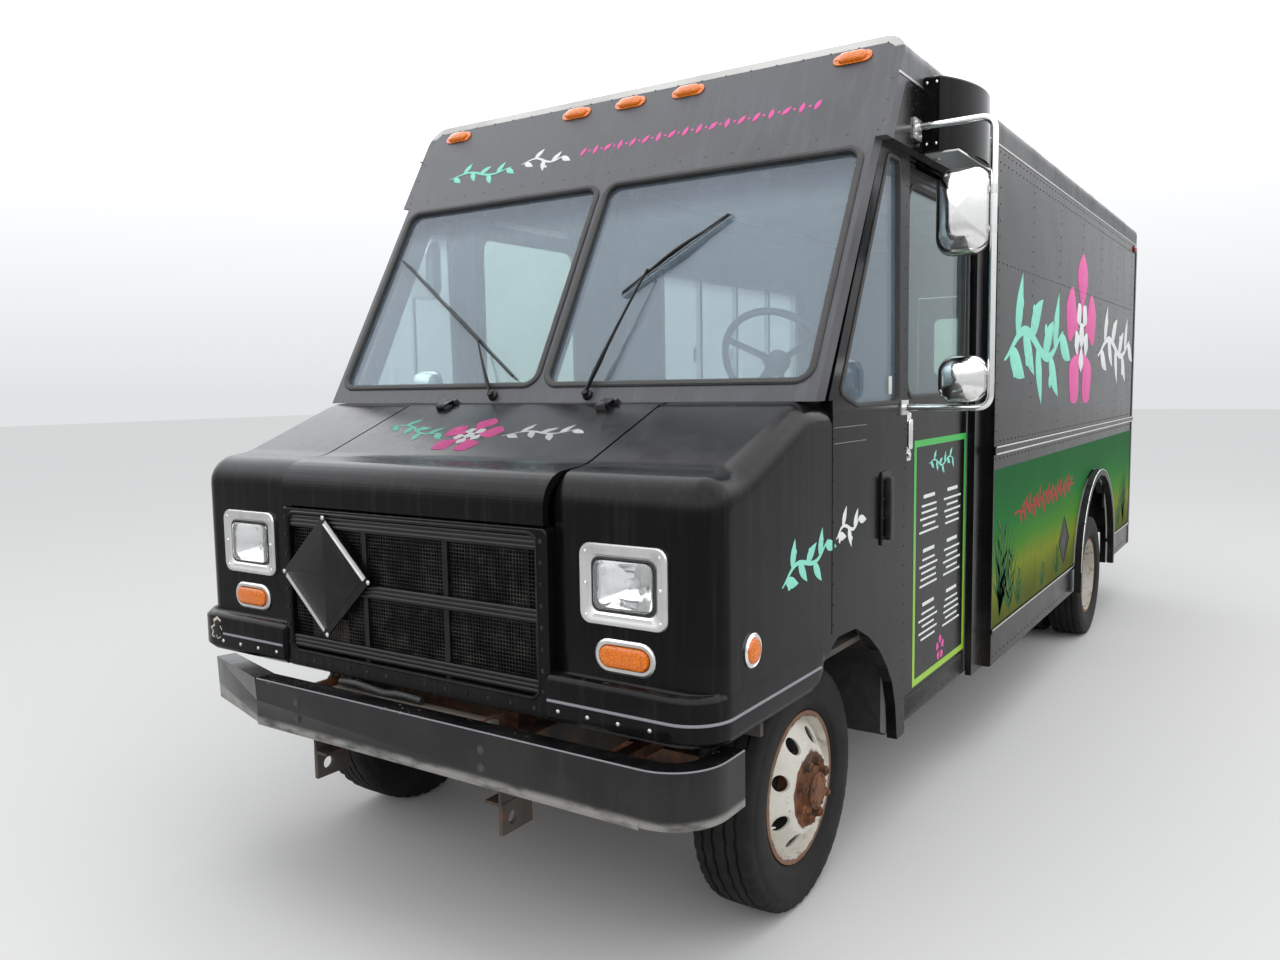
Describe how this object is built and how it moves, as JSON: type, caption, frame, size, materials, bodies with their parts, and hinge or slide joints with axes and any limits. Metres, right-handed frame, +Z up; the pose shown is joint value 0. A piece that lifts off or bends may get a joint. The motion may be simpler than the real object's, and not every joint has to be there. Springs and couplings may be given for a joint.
{
  "type": "food truck",
  "caption": "Walk-in food truck with a short nose, hinged hood, sliding cab doors, rear leaf doors, steered front wheels, twin rear wheels and a glazed serving window.",
  "frame": {"origin": "on the ground, midway between the front and rear bumpers and between the mirrors", "axes": "+Z up, +Y towards the rear of the truck, +X towards its driver's side"},
  "size_m": [2.926, 7.25, 3.3703],
  "materials": {
    "black_paint": "weathered gloss black paint",
    "green_wrap": "green graphic film over black paint",
    "pale_paint": "off-white roof paint",
    "chassis_black": "dirty chassis black",
    "axle_iron": "rusty cast and forged metal",
    "wheel_white": "white wheel paint with rust",
    "tyre_rubber": "worn and dusty",
    "window_glass": "tinted safety glass",
    "lamp_glass": "fluted lamp glass",
    "amber_lens": "amber lens",
    "red_lens": "red lens",
    "bright_chrome": "chromed, slightly dulled",
    "satin_aluminium": "satin aluminium",
    "black_rubber": "weathered rubber",
    "cab_plastic": "dark cab trim",
    "seat_vinyl": "dark vinyl",
    "kitchen_steel": "brushed stainless steel"
  },
  "bodies": {
    "root": {"frame_rails": "chassis_black", "crossmembers": "chassis_black", "engine_block": "axle_iron", "front_axle": "axle_iron", "rear_axle": "axle_iron", "leaf_springs": "axle_iron", "drive_shaft": "chassis_black", "fuel_tank": "chassis_black", "exhaust_pipe": "axle_iron", "floor_pan": "chassis_black", "wheel_boxes": "chassis_black", "step_wells": "chassis_black", "firewall": "chassis_black", "side_wall_left": "green_wrap", "side_wall_right": "green_wrap", "arch_flares": "black_rubber", "roof": "pale_paint", "rear_wall": "black_paint", "windshield_frame": "black_paint", "wipers": "black_rubber", "window_glass": "window_glass", "cab_sides": "black_paint", "fenders": "black_paint", "mirrors": "bright_chrome", "grille": "black_paint", "front_bumper": "black_paint", "rear_bumper": "chassis_black", "headlight_bezels": "satin_aluminium", "headlights": "lamp_glass", "amber_lamps": "amber_lens", "tail_lamps": "red_lens", "side_box": "black_paint", "dashboard": "cab_plastic", "steering_wheel": "cab_plastic", "driver_seat": "seat_vinyl", "kitchen_counters": "kitchen_steel", "serving_window": "satin_aluminium", "roof_vent": "satin_aluminium"},
    "hood": {"hood": "black_paint"},
    "cab_door_left": {"cab_door_left": "black_paint", "cab_door_glass_left": "window_glass"},
    "rear_door_left": {"rear_door_left": "black_paint", "rear_door_glass_left": "window_glass"},
    "knuckle_left": {"knuckle_left": "axle_iron"},
    "wheel_front_left": {"front_wheel_left": "wheel_white", "front_tyre_left": "tyre_rubber"},
    "wheel_rear_left": {"rear_wheel_left": "wheel_white", "rear_tyres_left": "tyre_rubber"},
    "cab_door_right": {"cab_door_right": "black_paint", "cab_door_glass_right": "window_glass"},
    "rear_door_right": {"rear_door_right": "black_paint", "rear_door_glass_right": "window_glass"},
    "knuckle_right": {"knuckle_right": "axle_iron"},
    "wheel_front_right": {"front_wheel_right": "wheel_white", "front_tyre_right": "tyre_rubber"},
    "wheel_rear_right": {"rear_wheel_right": "wheel_white", "rear_tyres_right": "tyre_rubber"}
  },
  "joints": [
    {"name": "hood_hinge", "type": "hinge", "parent": "root", "child": "hood", "pos_m": [0, -2.886, 1.753], "axis": [-1, 0, 0], "range_deg": [0, 55]},
    {"name": "cab_door_left_slide", "type": "slide", "parent": "root", "child": "cab_door_left", "axis": [0, 1, 0], "range_m": [0, 0.8]},
    {"name": "rear_door_left_hinge", "type": "hinge", "parent": "root", "child": "rear_door_left", "pos_m": [0.627, 3.5, 1.68], "axis": [0, 0, -1], "range_deg": [0, 180]},
    {"name": "steer_left", "type": "hinge", "parent": "root", "child": "knuckle_left", "pos_m": [0.79, -2.659, 0.419], "axis": [0, 0, 1], "range_deg": [-32, 32]},
    {"name": "wheel_front_left_spin", "type": "hinge", "parent": "knuckle_left", "child": "wheel_front_left", "pos_m": [0.905, -2.659, 0.419], "axis": [1, 0, 0], "continuous": true},
    {"name": "wheel_rear_left_spin", "type": "hinge", "parent": "root", "child": "wheel_rear_left", "pos_m": [0.915, 1.855, 0.419], "axis": [1, 0, 0], "continuous": true},
    {"name": "cab_door_right_slide", "type": "slide", "parent": "root", "child": "cab_door_right", "axis": [0, 1, 0], "range_m": [0, 0.8]},
    {"name": "rear_door_right_hinge", "type": "hinge", "parent": "root", "child": "rear_door_right", "pos_m": [-0.627, 3.5, 1.68], "axis": [0, 0, 1], "range_deg": [0, 180]},
    {"name": "steer_right", "type": "hinge", "parent": "root", "child": "knuckle_right", "pos_m": [-0.79, -2.659, 0.419], "axis": [0, 0, 1], "range_deg": [-32, 32]},
    {"name": "wheel_front_right_spin", "type": "hinge", "parent": "knuckle_right", "child": "wheel_front_right", "pos_m": [-0.905, -2.659, 0.419], "axis": [1, 0, 0], "continuous": true},
    {"name": "wheel_rear_right_spin", "type": "hinge", "parent": "root", "child": "wheel_rear_right", "pos_m": [-0.915, 1.855, 0.419], "axis": [1, 0, 0], "continuous": true}
  ],
  "couplings": [
    {"joint": "steer_right", "follows": "steer_left", "ratio": 1}
  ]
}
